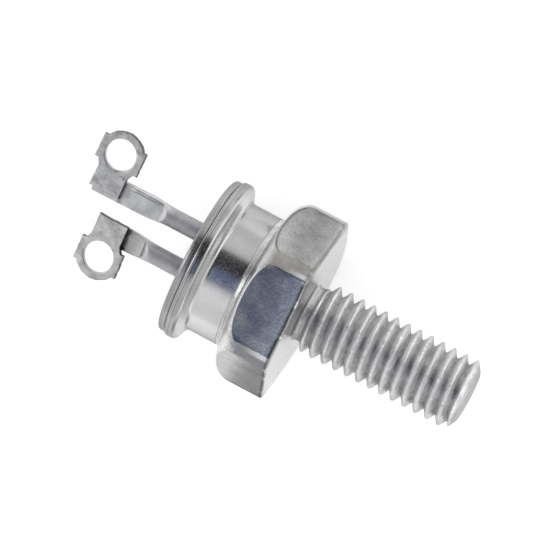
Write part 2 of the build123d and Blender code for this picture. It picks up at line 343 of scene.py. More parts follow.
class Wires:
    """Short calls that add nodes to a tree, where each value may be a number or another node's output."""

    def __init__(self, tree):
        self.tree = tree

    def feed(self, socket, value):
        """Set an input to a value, where one number that is given for a colour makes a grey."""
        if isinstance(value, bpy.types.NodeSocket):
            self.tree.links.new(value, socket)
        elif socket.type == "RGBA":
            colour = value if isinstance(value, tuple) else (value, value, value)
            socket.default_value = (*colour, 1.0)
        else:
            socket.default_value = value

    def math(self, operation, *values):
        """Join one or two values by an operation."""
        node = self.tree.nodes.new("ShaderNodeMath")
        node.operation = operation
        for socket, value in zip(node.inputs, values):
            self.feed(socket, value)
        return node.outputs["Value"]

    def times(self, first, second):
        """The product of two values."""
        return self.math("MULTIPLY", first, second)

    def mix(self, mask, first, second):
        """Blend two colours by a mask; a Mix node's colours are its inputs 6 and 7 and its output 2."""
        mixer = self.tree.nodes.new("ShaderNodeMix")
        mixer.data_type = "RGBA"
        for socket, value in ((0, mask), (6, first), (7, second)):
            self.feed(mixer.inputs[socket], value)
        return mixer.outputs[2]

    def spread(self, value, low, high, out_low=0.0, out_high=1.0, curve="SMOOTHSTEP"):
        """Map low..high to out_low..out_high, held at both ends; the curve may also be LINEAR."""
        stretch = self.tree.nodes.new("ShaderNodeMapRange")
        stretch.interpolation_type = curve
        for socket, number in zip(stretch.inputs, (value, low, high, out_low, out_high)):
            self.feed(socket, number)
        return stretch.outputs["Result"]

    def coordinates(self, scale=(1.0, 1.0, 1.0), rotation=(0.0, 0.0, 0.0)):
        """The object's own coordinates, turned and scaled."""
        source = self.tree.nodes.new("ShaderNodeTexCoord")
        mapping = self.tree.nodes.new("ShaderNodeMapping")
        self.feed(mapping.inputs["Vector"], source.outputs["Object"])
        self.feed(mapping.inputs["Scale"], scale)
        self.feed(mapping.inputs["Rotation"], rotation)
        return mapping.outputs["Vector"]

    def axes(self):
        """The object's own coordinates as three values."""
        parts = self.tree.nodes.new("ShaderNodeSeparateXYZ")
        self.feed(parts.inputs["Vector"], self.coordinates())
        return tuple(parts.outputs)

    def noise(self, dimensions="3D", **inputs):
        """Cloudy noise from 0 to 1, with its inputs given by their names."""
        texture = self.tree.nodes.new("ShaderNodeTexNoise")
        texture.noise_dimensions = dimensions
        for socket, value in inputs.items():
            self.feed(texture.inputs[socket], value)
        return texture.outputs["Fac"]


def new_group(name, inputs, outputs):
    """Start a node group of plain values; gives its wires, and its inputs and outputs seen from inside."""
    group = bpy.data.node_groups.new(name, "ShaderNodeTree")
    for socket, value in inputs.items():
        entry = group.interface.new_socket(socket, in_out="INPUT", socket_type="NodeSocketFloat")
        entry.default_value = value
    for socket in outputs:
        group.interface.new_socket(socket, in_out="OUTPUT", socket_type="NodeSocketFloat")
    return Wires(group), group.nodes.new("NodeGroupInput").outputs, group.nodes.new("NodeGroupOutput").inputs


def grain_group():
    """Node group of surface grain: cloudy blotches, fine grain and thin scratches, each from 0 to 1.

    The blotches are soft noise, the grain is noise some tens of times finer, and a scratch is where a noise
    that is stretched along X passes through its middle value.
    """
    scales = {"Blotch Scale": 300.0, "Grain Scale": 9000.0, "Scratch Scale": 900.0}
    wires, given, out = new_group("surface_grain", scales, ("Blotches", "Grain", "Scratches"))
    place = wires.coordinates()
    slanted = wires.coordinates((0.12, 1.0, 1.0), (0.0, 0.0, radians(25)))
    blotches = wires.noise(Vector=place, Scale=given["Blotch Scale"], Detail=4.0, Roughness=0.6)
    grain = wires.noise(Vector=place, Scale=given["Grain Scale"], Detail=3.0, Roughness=0.6)
    scratch = wires.noise(Vector=slanted, Scale=given["Scratch Scale"], Detail=2.0, Roughness=0.6)
    off_middle = wires.math("ABSOLUTE", wires.math("SUBTRACT", scratch, 0.5))
    wires.feed(out["Blotches"], wires.spread(blotches, 0.3, 0.7, curve="LINEAR"))
    wires.feed(out["Grain"], wires.spread(grain, 0.3, 0.7, curve="LINEAR"))
    wires.feed(out["Scratches"], wires.spread(off_middle, 0.0, 0.012, 1.0, 0.0, curve="LINEAR"))
    return wires.tree


surface_grain = grain_group()


class Finish(Wires):
    """A material with one Principled shader and the surface grain, and calls for its masks and its bump."""

    def __init__(self, name, metallic, roughness, blotch=300.0, grain=9000.0, scratch=900.0):
        self.material = bpy.data.materials.new(name)
        self.material.use_nodes = True
        super().__init__(self.material.node_tree)
        self.shader = self.tree.nodes["Principled BSDF"]
        self.set("Metallic", metallic)
        self.set("Roughness", roughness)
        self.grain = self.group(surface_grain, blotch, grain, scratch)

    def group(self, group, *values):
        """Place a node group, feed its inputs in their order, and give its outputs."""
        node = self.tree.nodes.new("ShaderNodeGroup")
        node.node_tree = group
        for socket, value in zip(node.inputs, values):
            self.feed(socket, value)
        return node.outputs

    def place(self):
        """The object's own coordinates as three values, and the distance from the device's axis."""
        x, y, z = self.axes()
        return x, y, z, self.math("SQRT", self.math("ADD", self.times(y, y), self.times(z, z)))

    def mask(self, name):
        """Read a mask that is stored on the piece."""
        source = self.tree.nodes.new("ShaderNodeAttribute")
        source.attribute_name = name
        return source.outputs["Fac"]

    def bump(self, height, depth):
        """Raise the surface by a height mask that stands for depth metres."""
        node = self.tree.nodes.new("ShaderNodeBump")
        self.feed(node.inputs["Strength"], 1.0)
        self.feed(node.inputs["Distance"], depth)
        self.feed(node.inputs["Height"], height)
        self.set("Normal", node.outputs["Normal"])

    def set(self, socket, value):
        """Feed one of the shader's inputs."""
        self.feed(self.shader.inputs[socket], value)


def frosted_nickel():
    """Dull nickel on etched copper: cloudy patches and fine grain, with matt white frost on the shoulder that
    is also a painted highlight there.

    The corners carry painted shade, and a painted blue reflection low down towards +Y. The flat on top
    carries a painted highlight beside the seat, the step has bright braze on it, and lines of painted shade
    run along the edges.
    """
    finish = Finish("frosted_nickel", 1.0, 0.34, blotch=700.0, grain=9000.0, scratch=700.0)
    blotches, grain, scratches = finish.grain
    x, y, z, radius = finish.place()
    flat_height = across_flats / 2
    colour = finish.mix(blotches, (0.40, 0.395, 0.39), (0.54, 0.535, 0.53))
    colour = finish.mix(finish.times(scratches, 0.25), colour, 0.74)
    # Painted shade on the corner bands, and a painted blue reflection on those towards +Y.
    on_corner = finish.spread(radius, blank_radius - 0.16 * MM, blank_radius - 0.03 * MM)
    corner = finish.mix(blotches, (0.27, 0.26, 0.245), (0.46, 0.45, 0.43))
    corner = finish.mix(finish.spread(y, 2.0 * MM, 3.0 * MM), corner, (0.25, 0.255, 0.28))
    colour = finish.mix(on_corner, colour, corner)
    # Painted highlight: the flat on top is lighter beside the seat.
    beside_seat = finish.spread(x, 0.2 * MM, 2.0 * MM, 1.0, 0.0)
    painted_sheen_by_seat = finish.times(beside_seat, finish.spread(z, flat_height - 0.2 * MM, flat_height - 0.1 * MM))
    colour = finish.mix(painted_sheen_by_seat, colour, finish.mix(blotches, 0.62, 0.98))
    beside_step = finish.spread(radius, step_radius + 0.55 * MM, step_radius + 1.15 * MM, 1.0, 0.0)
    on_step = finish.times(finish.spread(x, hex_height - 0.7 * MM, hex_height), beside_step)
    colour = finish.mix(on_step, colour, finish.mix(blotches, 0.30, 0.86))
    on_seat = finish.spread(x, 0.0, 0.06 * MM, 1.0, 0.0)
    colour = finish.mix(on_seat, colour, finish.mix(blotches, 0.58, 0.72))
    colour = finish.mix(finish.times(grain, 0.5), colour, 0.26)
    # Matt white frost on the shoulder, which is also a painted highlight there.
    frost_and_highlight = finish.times(finish.mask("frost_and_highlight"), finish.spread(blotches, 0.15, 0.6, 0.3, 0.9))
    colour = finish.mix(frost_and_highlight, colour, finish.mix(grain, 0.44, 0.96))
    # Painted shade lines along the seat's edge and along the crease over the flats facing -Y.
    colour = finish.mix(finish.times(finish.mask("painted_edge_shade"), 0.8), colour, (0.12, 0.115, 0.11))
    finish.set("Base Color", colour)
    roughness = finish.spread(blotches, 0.0, 1.0, 0.18, 0.28)
    finish.set("Roughness", finish.math("ADD", roughness, finish.times(frost_and_highlight, 0.14)))
    finish.bump(grain, 0.004 * MM)
    return finish.material


def rolled_thread():
    """Nickel on the rolled thread: rougher, and painted brighter for the light on its flanks, with painted
    shade and dirt down in the grooves and a little painted shade on the crests.

    Broken streaks from the rolling run round the axis everywhere but on the stud's end face. Small bright
    specks are painted glints, and dark scratches stand for dirt.
    """
    finish = Finish("rolled_thread", 1.0, 0.4, blotch=1100.0, grain=4500.0, scratch=1300.0)
    finish.set("Specular Tint", 0.5)
    blotches, grain, scratches = finish.grain
    x, _, _, radius = finish.place()
    streaks = finish.noise(Vector=finish.coordinates((1.0, 0.16, 0.16)), Scale=7000.0, Detail=3.0)
    past_face = finish.spread(x, stud_tip + 0.02 * MM, stud_tip + 0.1 * MM)
    marks = finish.times(finish.spread(streaks, 0.36, 0.64), past_face)
    # Painted light: this nickel is lighter than the hexagon's so that the thread's flanks look lit.
    colour = finish.mix(blotches, (0.77, 0.77, 0.775), (0.92, 0.92, 0.925))
    below_crest = finish.spread(radius, stud_radius - 0.3 * MM, stud_radius - 0.07 * MM, 0.48, 0.2)
    colour = finish.mix(finish.times(marks, below_crest), colour, (0.34, 0.34, 0.345))
    # Painted shade and dirt down in the grooves.
    groove_shade_and_dirt = finish.spread(radius, stud_radius - 0.57 * MM, stud_radius - 0.29 * MM, 1.0, 0.0)
    colour = finish.mix(finish.times(groove_shade_and_dirt, 0.5), colour, (0.36, 0.36, 0.37))
    # Painted shade on the crests, which dims their highlight.
    on_crest = finish.spread(radius, stud_radius - 0.15 * MM, stud_radius - 0.05 * MM)
    colour = finish.mix(on_crest, colour, finish.mix(blotches, 0.60, 0.82))
    # Painted glints: small bright specks near the crests.
    near_crest = finish.spread(radius, stud_radius - 0.35 * MM, stud_radius - 0.15 * MM)
    colour = finish.mix(finish.times(finish.spread(grain, 0.82, 0.90), near_crest), colour, 0.97)
    dirt = finish.times(scratches, finish.spread(grain, 0.2, 0.5))
    finish.set("Base Color", finish.mix(finish.times(dirt, 0.6), colour, 0.24))
    finish.set("Roughness", finish.spread(blotches, 0.0, 1.0, 0.34, 0.50))
    finish.bump(finish.math("ADD", grain, marks), 0.013 * MM)
    return finish.material


def add_mask(piece, name, values):
    """Store one value from 0 to 1 at each point of a piece, for its material to read."""
    layer = piece.data.attributes.new(name, "FLOAT", "POINT")
    layer.data.foreach_set("value", np.ascontiguousarray(values, dtype=np.float32).ravel())


points, masks = base_grid()
stud_base = grid_object("stud_base_body", points)
for name, values in masks.items():
    add_mask(stud_base, name, values)
stud_base.data.materials.append(frosted_nickel())
stud_base.data.materials.append(rolled_thread())
below_seat = points[1:, 0, 0] < -0.01 * MM
side_slots = np.repeat(below_seat.astype(np.int32), points.shape[1])
end_slots = [1, 0]
stud_base.data.polygons.foreach_set("material_index", np.concatenate([side_slots, end_slots]))
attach(stud_base, "root")
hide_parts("stud_base")


# Braze. A thin ring of silver alloy between the base's step and the steel sleeve, melted in the furnace.
# Only its rim shows, as a fine darker line at the neck's foot.
def braze_metal():
    """Silver braze alloy, warm and a little rough."""
    finish = Finish("silver_braze", 1.0, 0.42, blotch=900.0)
    blotches, grain, _ = finish.grain
    finish.set("Base Color", finish.mix(blotches, (0.56, 0.555, 0.54), (0.70, 0.69, 0.68)))
    finish.bump(grain, 0.006 * MM)
    return finish.material


def dress(node, material):
    """Give a CAD node its finish."""
    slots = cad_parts[node].data.materials
    slots.clear()
    slots.append(material)


dress("sleeve_braze", braze_metal())


# Inner stack. Solder, a molybdenum backing disc, the silicon pellet with rubber over its bevelled edge, and
# the cathode's contact disc, soldered on one another on the base's pedestal. The case hides it all.
def soft_solder():
    """Lead-tin solder with a dull skin."""
    finish = Finish("soft_solder", 1.0, 0.38, blotch=1200.0)
    blotches, grain, _ = finish.grain
    finish.set("Base Color", finish.mix(blotches, (0.52, 0.53, 0.55), (0.68, 0.69, 0.70)))
    finish.bump(grain, 0.006 * MM)
    return finish.material


def molybdenum_sheet():
    """Rolled molybdenum with fine parallel scratches."""
    finish = Finish("molybdenum_sheet", 1.0, 0.3, scratch=2500.0)
    _, grain, scratches = finish.grain
    finish.set("Base Color", finish.mix(scratches, (0.45, 0.45, 0.46), (0.62, 0.62, 0.63)))
    finish.bump(grain, 0.004 * MM)
    return finish.material


def etched_silicon():
    """Dark grey silicon, smooth with a slight cloud from the etch."""
    finish = Finish("etched_silicon", 0.6, 0.18, blotch=1500.0)
    blotches, _, _ = finish.grain
    finish.set("Base Color", finish.mix(blotches, (0.10, 0.105, 0.12), (0.16, 0.165, 0.19)))
    return finish.material


def edge_rubber():
    """White silicone rubber with a soft, slightly uneven skin."""
    finish = Finish("edge_rubber", 0.0, 0.55, blotch=1400.0)
    blotches, grain, _ = finish.grain
    finish.set("Base Color", finish.mix(blotches, (0.74, 0.73, 0.70), (0.84, 0.83, 0.81)))
    finish.bump(grain, 0.015 * MM)
    return finish.material


solder = soft_solder()
molybdenum = molybdenum_sheet()
for node in ("anode_solder", "pellet_solder", "cathode_solder", "cathode_joint", "gate_joint"):
    dress(node, solder)
for node in ("anode_disc", "cathode_disc"):
    dress(node, molybdenum)
dress("silicon_pellet", etched_silicon())
dress("junction_coating", edge_rubber())


# Inner leads. Two drawn copper wires, silver plated. Each is soldered on its contact and runs up into its
# terminal tube, whose crimp holds it.
def silvered_wire():
    """Drawn copper wire with thin silver plating, scratched along its length."""
    finish = Finish("silvered_wire", 1.0, 0.3, scratch=1800.0)
    blotches, _, scratches = finish.grain
    colour = finish.mix(blotches, (0.74, 0.70, 0.66), (0.82, 0.80, 0.78))
    finish.set("Base Color", finish.mix(scratches, colour, (0.66, 0.52, 0.44)))
    return finish.material


wire = silvered_wire()
dress("cathode_lead", wire)
dress("gate_lead", wire)


# Sleeve. A steel ring, turned and nickel plated. Its plain neck is brazed on the step, and its flange is
# rolled out for the weld to the lid.
braze_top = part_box("case_sleeve")[0].x
weld_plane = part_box("case_sleeve")[1].x
neck_radius = 4.32 * MM
sleeve_bore_radius = 3.62 * MM
flange_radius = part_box("case_sleeve")[1].y
flange_edge = 0.62 * MM
flange_root = 1.02 * MM
ring_turn = np.linspace(0, 2 * pi, 257)[:-1]


def rounded_profile(corners, steps=6):
    """Follow corners (x, r, rounding) in order round a closed outline, with each corner turned into an arc.

    The arc's ends lie the rounding's length from the corner along its two sides, or less where a side is
    short, and its points are a quadratic curve between them whose middle point is the corner.
    """
    points = []
    spots = [np.array(corner[:2]) for corner in corners]
    for k, corner in enumerate(corners):
        here = spots[k]
        back = spots[k - 1] - here
        ahead = spots[(k + 1) % len(spots)] - here
        back_length, ahead_length = np.hypot(*back), np.hypot(*ahead)
        reach = min(corner[2], 0.45 * back_length, 0.45 * ahead_length)
        first = here + back / back_length * reach
        last = here + ahead / ahead_length * reach
        for share in np.linspace(0, 1, steps):
            points.append(first * (1 - share) ** 2 + 2 * here * share * (1 - share) + last * share ** 2)
    return np.array(points)


def subdivided(profile, longest):
    """Add points along a closed outline so that no side is longer than the given length."""
    points = []
    for here, ahead in zip(profile, np.roll(profile, -1, axis=0)):
        pieces = max(1, int(np.ceil(np.hypot(*(ahead - here)) / longest)))
        points += [here + (ahead - here) * k / pieces for k in range(pieces)]
    return np.array(points)


def ring_object(name, corners):
    """Make a ring by carrying a closed outline round the X axis."""
    longest_side = 0.35 * MM
    profile = subdivided(rounded_profile(corners), longest_side)
    points = turned(profile[:, :1], profile[:, 1:], ring_turn)
    return grid_object(name, points, loop_rows=True)


def turning_group():
    """Node group of turning marks: uneven rings round the axis, from 0 to 1, by a noise that reads only X."""
    wires, given, out = new_group("turning_marks", {"Scale": 9000.0}, ("Marks",))
    x, _, _ = wires.axes()
    marks = wires.noise("1D", W=x, Scale=given["Scale"], Detail=2.0)
    wires.feed(out["Marks"], wires.spread(marks, 0.3, 0.7))
    return wires.tree


turning_marks = turning_group()


def sleeve_plating():
    """Satin nickel on the neck with painted shade on both sides, and a darker flange edge with turning marks.

    The flange's back is painted bright as a highlight, and matt where the etch has bitten it towards +Y.
    """
    finish = Finish("sleeve_plating", 1.0, 0.3, blotch=350.0, grain=8000.0)
    finish.set("Specular Tint", 0.6)
    blotches, grain, scratches = finish.grain
    x, y, _, _ = finish.place()
    marks = finish.group(turning_marks, 9000.0)["Marks"]
    on_edge = finish.spread(x, 6.2 * MM, 6.5 * MM)
    on_slope = finish.spread(x, 5.9 * MM, 6.1 * MM)
    satin = finish.mix(blotches, (0.60, 0.59, 0.59), (0.72, 0.715, 0.71))
    # Painted shade on the neck's sides towards -Y and towards +Y.
    near_side = finish.spread(y, -1.8 * MM, -0.8 * MM, 1.0, 0.0)
    far_side = finish.spread(y, 3.7 * MM, 4.1 * MM)
    side_shade = finish.mix(blotches, (0.41, 0.40, 0.40), (0.53, 0.52, 0.52))
    satin = finish.mix(finish.math("MAXIMUM", near_side, far_side), satin, side_shade)
    satin = finish.mix(finish.times(grain, 0.16), satin, 0.40)
    # Painted highlight: the flange's back is lighter.
    satin = finish.mix(on_slope, satin, 0.93)
    turned_edge = finish.mix(marks, (0.26, 0.255, 0.25), 0.50)
    turned_edge = finish.mix(finish.times(scratches, 0.3), turned_edge, 0.40)
    finish.set("Base Color", finish.mix(on_edge, satin, turned_edge))
    etched = finish.spread(y, -2.2 * MM, -0.6 * MM, 0.0, 0.42)
    etched = finish.times(finish.math("SUBTRACT", on_slope, on_edge), etched)
    finish.set("Roughness", finish.math("MAXIMUM", finish.spread(grain, 0.0, 1.0, 0.17, 0.28), etched))
    finish.bump(finish.times(marks, on_edge), 0.004 * MM)
    return finish.material


case_sleeve = ring_object("case_sleeve_body", [
    (braze_top, neck_radius, 0.03 * MM),
    (weld_plane - flange_root, neck_radius, 0.26 * MM),
    (weld_plane - flange_edge, flange_radius, 0.2 * MM),
    (weld_plane, flange_radius, 0.14 * MM),
    (weld_plane, sleeve_bore_radius, 0.05 * MM),
    (braze_top, sleeve_bore_radius, 0.05 * MM),
])
case_sleeve.data.materials.append(sleeve_plating())
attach(case_sleeve, "root")
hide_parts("case_sleeve")


# Lid ring. A pressed steel ring, nickel plated, whose flange is welded to the sleeve's flange.
# Its skirt drops into the sleeve and holds the glass.
lid_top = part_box("header_ring")[1].x
skirt_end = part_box("header_ring")[0].x
lid_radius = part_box("header_ring")[1].y
skirt_radius = 3.56 * MM
glass_radius = 2.5 * MM


def lid_plating():
    """Grey nickel with turning marks round the axis, a few light scratches and cloudy patches."""
    finish = Finish("lid_plating", 1.0, 0.14, blotch=500.0, scratch=1100.0)
    finish.set("Specular Tint", 0.6)
    blotches, grain, scratches = finish.grain
    marks = finish.group(turning_marks, 8000.0)["Marks"]
    colour = finish.mix(marks, finish.mix(blotches, 0.20, 0.27), 0.44)
    finish.set("Base Color", finish.mix(finish.times(scratches, 0.3), colour, 0.28))
    finish.set("Roughness", finish.spread(grain, 0.0, 1.0, 0.22, 0.34))
    finish.bump(marks, 0.006 * MM)
    return finish.material


header_ring = ring_object("header_ring_body", [
    (weld_plane, lid_radius, 0.1 * MM),
    (lid_top, lid_radius, 0.32 * MM),
    (lid_top, glass_radius, 0.04 * MM),
    (skirt_end, glass_radius, 0.04 * MM),
    (skirt_end, skirt_radius, 0.06 * MM),
    (weld_plane, skirt_radius, 0.02 * MM),
])
header_ring.data.materials.append(lid_plating())
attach(header_ring, "root")
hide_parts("header_ring")


# Seal. Dark grey-green glass, melted into the lid ring round both tubes. It keeps the case gas-tight and
# holds the two terminals apart.
def seal_glass():
    """Dark sealing glass, glossy and slightly cloudy."""
    finish = Finish("seal_glass", 0.0, 0.12, blotch=800.0)
    blotches, _, _ = finish.grain
    finish.set("Base Color", finish.mix(blotches, (0.055, 0.075, 0.075), (0.10, 0.125, 0.12)))
    finish.set("Coat Weight", 0.5)
    return finish.material


dress("header_glass", seal_glass())


# Terminals. Nickel-iron tubes come up through the glass, are pressed flat round the inner leads and then
# dipped in tin. The press leaves a slanted facet at each blade's root, and a ridge along one blade.
tube_radius = 0.6 * MM
tube_bore_radius = 0.35 * MM
tube_offset = 1.27 * MM
crimp_start = 10.1 * MM
facet_start = 10.28 * MM
facet_end = 10.66 * MM
spread_start = 9.8 * MM
spread_end = 11.7 * MM
blade_width = 1.46 * MM
blade_thickness = 0.48 * MM
ridge_place = 0.64
ridge_width = 0.30
ridge_lip = 0.035
ridge_fade = 12.6 * MM
ridge_end = 13.1 * MM
along_x, along_y, along_z = np.eye(3)


def directions(roll, tip, swing):
    """Unit vectors across, along and square to a blade, from three angles in degrees.

    The blade is rolled about X, tipped down at its end, and then swung sideways in its own plane.
    """
    roll, tip, swing = radians(roll), radians(tip), radians(swing)
    level_across = along_y * cos(roll) - along_z * sin(roll)
    upright = along_y * sin(roll) + along_z * cos(roll)
    straight_along = along_x * cos(tip) - upright * sin(tip)
    normal = upright * cos(tip) + along_x * sin(tip)
    across = level_across * cos(swing) - straight_along * sin(swing)
    along = straight_along * cos(swing) + level_across * sin(swing)
    return across, along, normal


def ease(value, low, high):
    """Rise smoothly from 0 at low to 1 at high: three squares less two cubes of the way between them."""
    share = np.clip((value - low) / (high - low), 0, 1)
    return share ** 2 * (3 - 2 * share)


def terminal_object(name, y, bend, ridge, weld_at):
    """Make one terminal: bore, inner end, round tube, crimp and blade in one closed grid.

    The outer section is an ellipse, half as wide as the tube or the blade, whose top and bottom are cut off
    at the press's height. That height falls in a straight slant along the facet. The centre line runs along
    X to the crimp and then along the blade, and the section's frame turns from the tube's to the blade's.
    ridge is the height of the rim that the press leaves along one edge, and the lug's neck ends at weld_at.
    """
    tube_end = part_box(name)[0].x
    across, along, normal = directions(*bend)
    corner_reach = blade_thickness / 2 * abs(normal[0]) + blade_width / 2 * abs(across[0])
    blade_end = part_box(name)[1].x - corner_reach
    turn = np.linspace(0, 2 * pi, 145)[:-1]
    bounds = (tube_end, spread_start, facet_start, facet_end, spread_end, blade_end - 0.06 * MM)
    counts = (12, 8, 16, 14, 24)
    runs = [np.linspace(low, high, count)[1:] for low, high, count in zip(bounds, bounds[1:], counts)]
    stations = np.concatenate(runs + [[blade_end - 0.02 * MM]])[:, None]

    half_width = tube_radius + (blade_width / 2 - tube_radius) * ease(stations, spread_start, spread_end)
    half_width = half_width - 0.03 * MM * ease(stations, blade_end - 0.07 * MM, blade_end)
    slant = np.clip((stations - facet_start) / (facet_end - facet_start), 0, 1)
    press = tube_radius + (blade_thickness / 2 - tube_radius) * slant
    u = half_width * np.cos(turn)
    full = tube_radius * np.sin(turn)
    v = np.clip(full, -press, press)
    past_ridge = u / half_width + ridge_place
    rim = np.where(past_ridge < 0, bell(past_ridge, 0, ridge_width), bell(past_ridge, 0, ridge_lip))
    rim_start = ease(stations, facet_end - 0.1 * MM, facet_end + 0.3 * MM)
    rim_reach = rim_start * (1 - ease(stations, ridge_fade, ridge_end))
    v = v + ridge * rim * rim_reach * (v > 0.6 * press)

    blend = ease(stations, crimp_start, facet_end)[..., None]
    side_way = along_y * (1 - blend) + across * blend
    up_way = along_z * (1 - blend) + normal * blend
    past_crimp = np.maximum(stations - crimp_start, 0) / along[0]
    centre = along_y * y + np.minimum(stations, crimp_start)[..., None] * along_x
    centre = centre + past_crimp[..., None] * along
    outer = centre + u[..., None] * side_way + v[..., None] * up_way
    bore_places = ((crimp_start, tube_bore_radius), (tube_end, tube_bore_radius), (tube_end, tube_radius))
    inner = np.array([turned(x, radius, turn) + along_y * y for x, radius in bore_places])
    terminal = grid_object(name + "_body", np.concatenate([inner, outer]))

    on_top = np.sin(turn) > 0.1
    # The pressed facet: bare metal that its material paints bright as a highlight.
    pressed = (np.abs(full) > press) * ease(stations, facet_start - 0.02 * MM, facet_start + 0.05 * MM)
    pressed = pressed * (1 - ease(stations, facet_end - 0.08 * MM, facet_end))
    # Dried flux and painted shadow by the lug's neck, spread wide on the gate's blade.
    from_weld = (weld_at - stations) / MM + 0.02 * np.sin(turn * 7)
    flux_and_shadow = bell(from_weld, 0.05, 0.09)
    if ridge:
        flux_and_shadow = flux_and_shadow + 0.5 * bell(from_weld, 0.36, 0.12) * (np.cos(turn) < 0.2)
    else:
        flux_and_shadow = flux_and_shadow + 0.75 * bell(from_weld, 0.0, 1.0)
    # Painted shade along the crease of the press ridge.
    crease_shade = bell(past_ridge, 0.05, 0.05) * rim_reach * (ridge > 0)
    unseen = np.zeros(inner.shape[:2])
    for mask, values in (("pressed", pressed), ("flux_and_shadow", flux_and_shadow * on_top), ("crease_shade", crease_shade * on_top)):
        add_mask(terminal, mask, np.concatenate([unseen, values]))
    return terminal


def tin_dip():
    """Dull tin over nickel-iron: mottled grey on the blade, darker and slightly violet on the round tube.

    The facet that the press left is bare, and painted bright as its highlight. Painted shade lies in the
    crease, and dried flux with painted shadow lies by the lug.
    """
    finish = Finish("tin_dip", 1.0, 0.34, blotch=1000.0, grain=6000.0, scratch=1400.0)
    finish.set("Specular Tint", 0.45)
    blotches, _, scratches = finish.grain
    x, _, _, _ = finish.place()
    tube = finish.mix(blotches, (0.37, 0.365, 0.39), (0.56, 0.555, 0.58))
    blade = finish.mix(blotches, 0.46, 0.76)
    colour = finish.mix(finish.spread(x, 9.8 * MM, 10.8 * MM), tube, blade)
    colour = finish.mix(finish.times(scratches, 0.3), colour, 0.30)
    # The facet: bare metal, painted bright as its highlight.
    colour = finish.mix(finish.mask("pressed"), colour, (0.86, 0.86, 0.87))
    # Painted shade in the ridge's crease.
    colour = finish.mix(finish.times(finish.mask("crease_shade"), 0.7), colour, 0.14)
    # Dried flux and painted shadow by the lug.
    patchy = finish.times(finish.mask("flux_and_shadow"), finish.spread(blotches, 0.1, 0.8, 0.4, 1.0))
    finish.set("Base Color", finish.mix(patchy, colour, 0.10))
    finish.set("Roughness", finish.spread(x, 9.8 * MM, 10.8 * MM, 0.60, 0.36))
    finish.bump(blotches, 0.016 * MM)
    return finish.material


tin = tin_dip()
cathode_bend = (5.0, 3.4, 1.8)
gate_bend = (7.8, 6.8, 1.6)
for name, y, bend, ridge, weld_at in (
    ("cathode_tube", -tube_offset, cathode_bend, 0.05 * MM, 13.37 * MM),
    ("gate_tube", tube_offset, gate_bend, 0.0, 11.88 * MM),
):
    terminal = terminal_object(name, y, bend, ridge, weld_at)
    terminal.data.materials.append(tin)
    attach(terminal, "root")
    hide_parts(name)


# Solder lugs. Flat stampings of tinned brass with a round eye, welded on the blades and reaching outwards.
# The strip that they were cut from leaves a straight band across the eye, with four small horns.
lug_thickness = 0.35 * MM
eye_radius = 0.985 * MM
head_radius = 1.475 * MM
band_half_length = 1.48 * MM
band_half_width = 0.79 * MM
neck_half_width = 1.015 * MM
neck_length = 2.55 * MM


def box_reach(turn, half_along, half_across):
    """Distance from a rectangle's middle to its edge: half a side over the direction's cosine or sine."""
    return np.minimum(half_along / np.maximum(np.abs(np.cos(turn)), 1e-6),
                      half_across / np.maximum(np.abs(np.sin(turn)), 1e-6))


def joined(first, second, softness):
    """The larger of two distances, with the inner corner where they cross filled over the softness."""
    near = np.clip(1 - np.abs(first - second) / softness, 0, 1)
    return np.maximum(first, second) + softness / 4 * near ** 2


def lug_outline(turn, side, seed):
    """Distance from the eye's middle to the lug's edge: the farthest of the head, the band and the neck.

    The neck runs into the head in soft hollows. Slow waves of some hundredths of a millimetre stand for the
    hand-held shears and the wear.
    """
    head = np.full_like(turn, head_radius)
    band = box_reach(turn, band_half_length, band_half_width)
    towards_blade = -side * np.sin(turn) > 0
    neck = np.where(towards_blade, box_reach(turn, neck_half_width, neck_length), 0)
    edge = joined(joined(head, band, 0.04 * MM), neck, 0.22 * MM)
    shears = np.random.default_rng(seed)
    for count in (5, 9, 16, 27):
        edge += shears.uniform(0.003, 0.009) * MM * np.sin(count * turn + shears.uniform(0, 2 * pi))
    return edge


